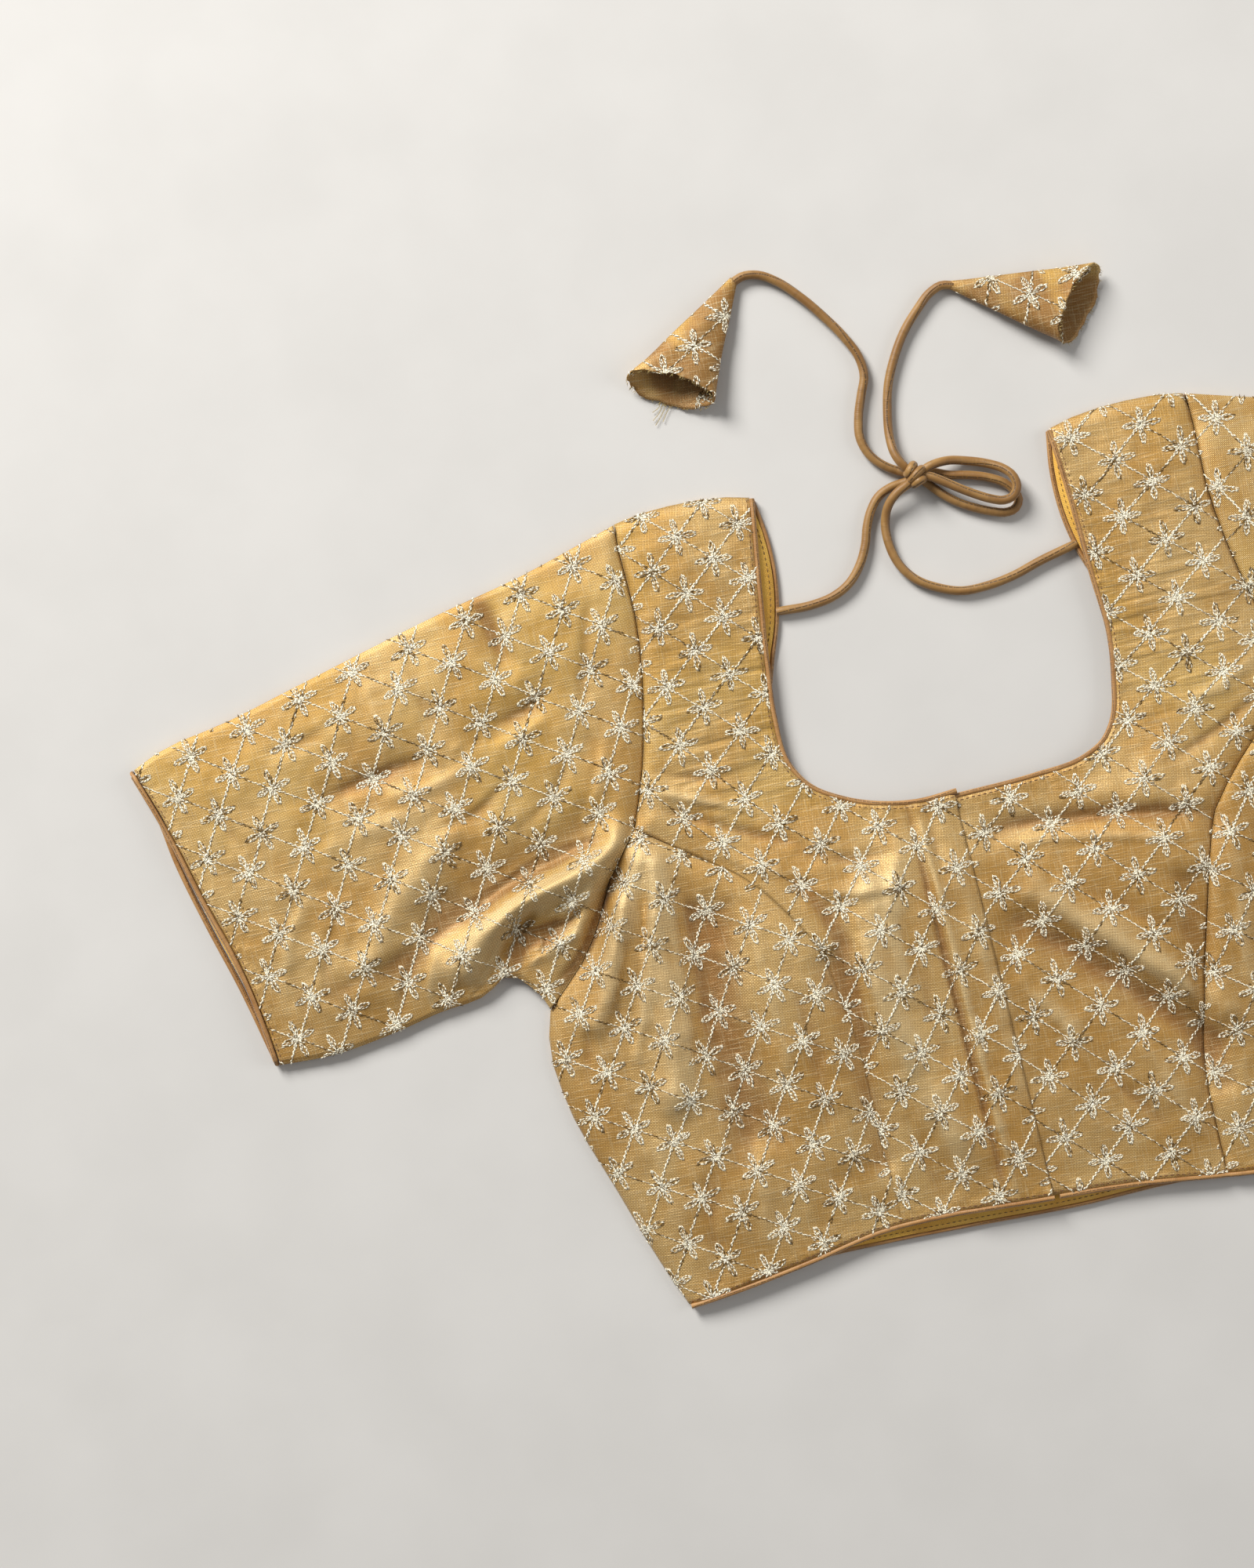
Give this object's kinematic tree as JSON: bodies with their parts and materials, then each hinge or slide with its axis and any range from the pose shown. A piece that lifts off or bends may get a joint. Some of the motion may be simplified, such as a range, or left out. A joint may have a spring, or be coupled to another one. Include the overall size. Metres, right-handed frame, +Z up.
{
  "type": "square neck blouse",
  "caption": "Square neck sari blouse laid flat, with a lapped centre front, elbow sleeves, piped edges, and neck ties tied in a bow that end in open cloth cones.",
  "frame": {"origin": "on the surface it lies on, under the middle of the garment without its ties", "axes": "+X across from the picture's left sleeve to its right sleeve, +Y from hem to shoulders, +Z up from the surface"},
  "size_m": [0.8178, 0.4985, 0.0189],
  "materials": {
    "tissue_cloth": "gold tissue silk, plain weave, soft sheen",
    "piping_cloth": "tan piping cloth, matt",
    "lining_cloth": "mustard cotton lining, matt",
    "tie_cloth": "tan cloth cord, matt"
  },
  "bodies": {
    "root": {"front_side_left": "tissue_cloth", "front_side_right": "tissue_cloth", "front_centre_left": "tissue_cloth", "front_centre_right": "tissue_cloth", "back_panel": "tissue_cloth", "back_lining": "lining_cloth", "sleeve_left": "tissue_cloth", "sleeve_right": "tissue_cloth", "cuff_lining_left": "lining_cloth", "cuff_lining_right": "lining_cloth", "neck_piping_left": "piping_cloth", "neck_piping_right": "piping_cloth", "neck_piping_back": "piping_cloth", "hem_piping_left": "piping_cloth", "hem_piping_right": "piping_cloth", "hem_piping_back": "piping_cloth", "cuff_piping_left": "piping_cloth", "cuff_piping_right": "piping_cloth", "tie_run_left": "tie_cloth", "tie_run_right": "tie_cloth", "tie_loop_left": "tie_cloth", "tie_loop_right": "tie_cloth", "tie_tail_left": "tie_cloth", "tie_tail_right": "tie_cloth", "tie_knot": "tie_cloth", "tassel_left": "tissue_cloth", "tassel_right": "tissue_cloth"}
  },
  "joints": []
}
